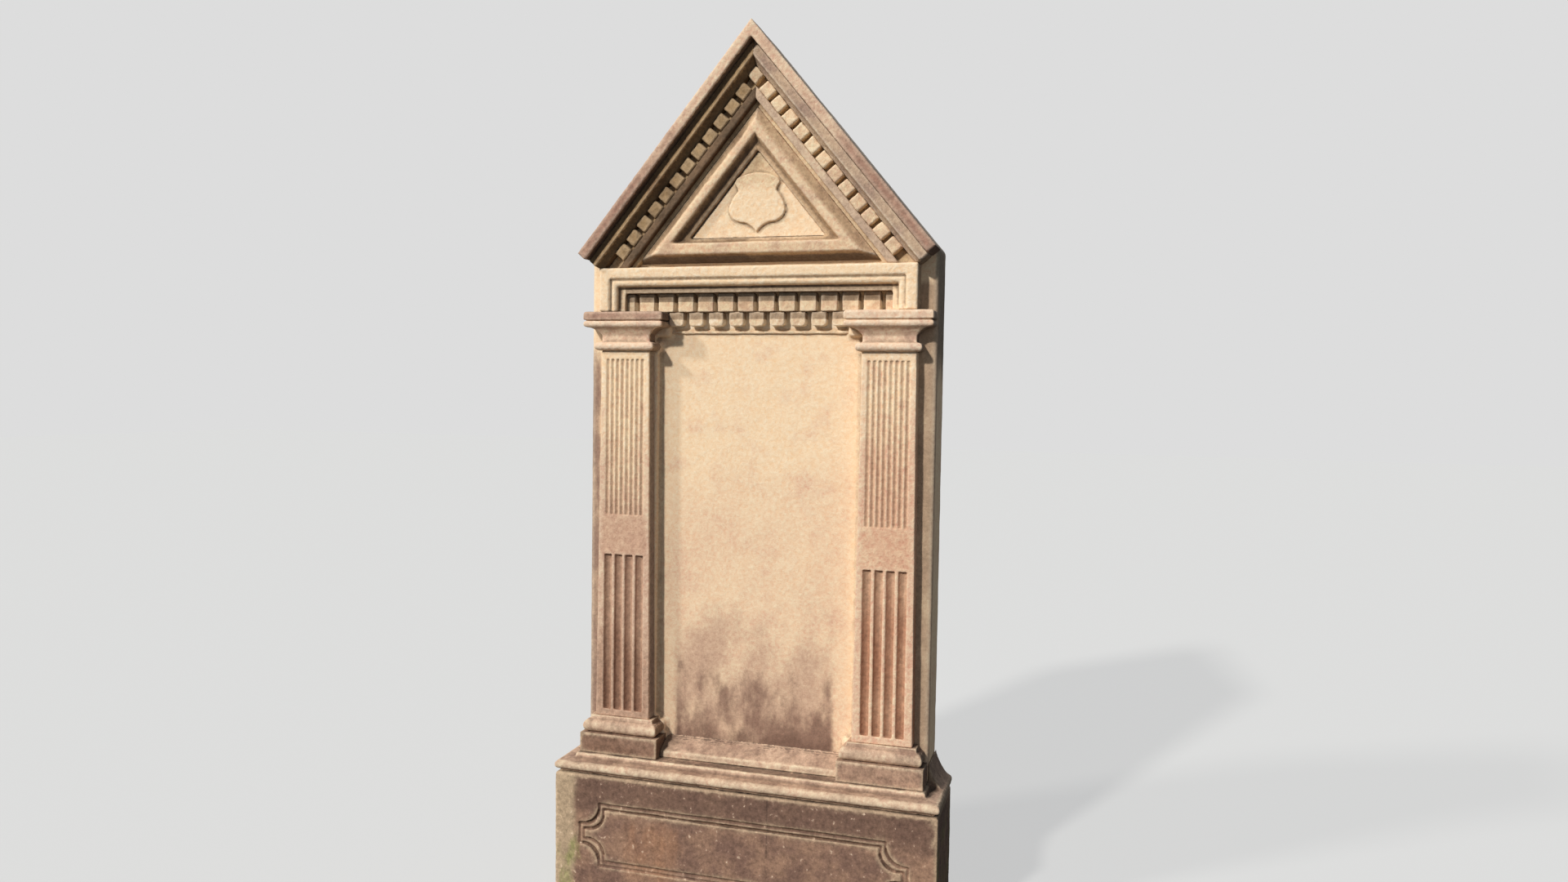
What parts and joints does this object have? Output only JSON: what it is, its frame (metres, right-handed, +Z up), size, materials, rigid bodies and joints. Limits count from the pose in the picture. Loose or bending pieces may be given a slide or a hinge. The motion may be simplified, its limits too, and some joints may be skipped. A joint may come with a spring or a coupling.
{
  "type": "headstone",
  "caption": "Carved sandstone headstone: gabled slab with fluted pilasters, dentilled entablature and pediment over a bare inscription panel, on a panelled base block.",
  "frame": {"origin": "middle of the base block's box, at ground level", "axes": "+Z up, +X to the right seen from the front, and the carved front faces -Y"},
  "size_m": [0.836, 0.196, 1.839],
  "materials": {
    "base_sandstone": "tooled, damp-stained sandstone",
    "tablet_sandstone": "rubbed, weathered sandstone",
    "pediment_sandstone": "rubbed, weathered sandstone"
  },
  "bodies": {
    "root": {"apex_dentil": "pediment_sandstone", "base_die": "base_sandstone", "base_fillet": "base_sandstone", "base_panel_bead": "base_sandstone", "base_torus": "base_sandstone", "dentil_fillet": "tablet_sandstone", "entablature_bead": "tablet_sandstone", "entablature_fascia": "tablet_sandstone", "entablature_frame": "tablet_sandstone", "left_abacus": "tablet_sandstone", "left_base_wash": "base_sandstone", "left_bed_fillet": "pediment_sandstone", "left_corona": "pediment_sandstone", "left_echinus": "tablet_sandstone", "left_necking": "tablet_sandstone", "left_plinth": "tablet_sandstone", "left_raking_cyma": "pediment_sandstone", "left_raking_dentils": "pediment_sandstone", "left_raking_fillet": "pediment_sandstone", "left_shaft": "tablet_sandstone", "left_shaft_base": "tablet_sandstone", "lower_dentils": "tablet_sandstone", "panel_sill": "tablet_sandstone", "pediment_wall": "pediment_sandstone", "right_abacus": "tablet_sandstone", "right_base_wash": "base_sandstone", "right_bed_fillet": "pediment_sandstone", "right_corona": "pediment_sandstone", "right_echinus": "tablet_sandstone", "right_necking": "tablet_sandstone", "right_plinth": "tablet_sandstone", "right_raking_cyma": "pediment_sandstone", "right_raking_dentils": "pediment_sandstone", "right_raking_fillet": "pediment_sandstone", "right_shaft": "tablet_sandstone", "right_shaft_base": "tablet_sandstone", "shield": "pediment_sandstone", "slab": "tablet_sandstone", "tympanum_bead": "pediment_sandstone", "tympanum_field": "pediment_sandstone", "tympanum_frame": "pediment_sandstone", "upper_dentils": "tablet_sandstone"}
  },
  "joints": []
}
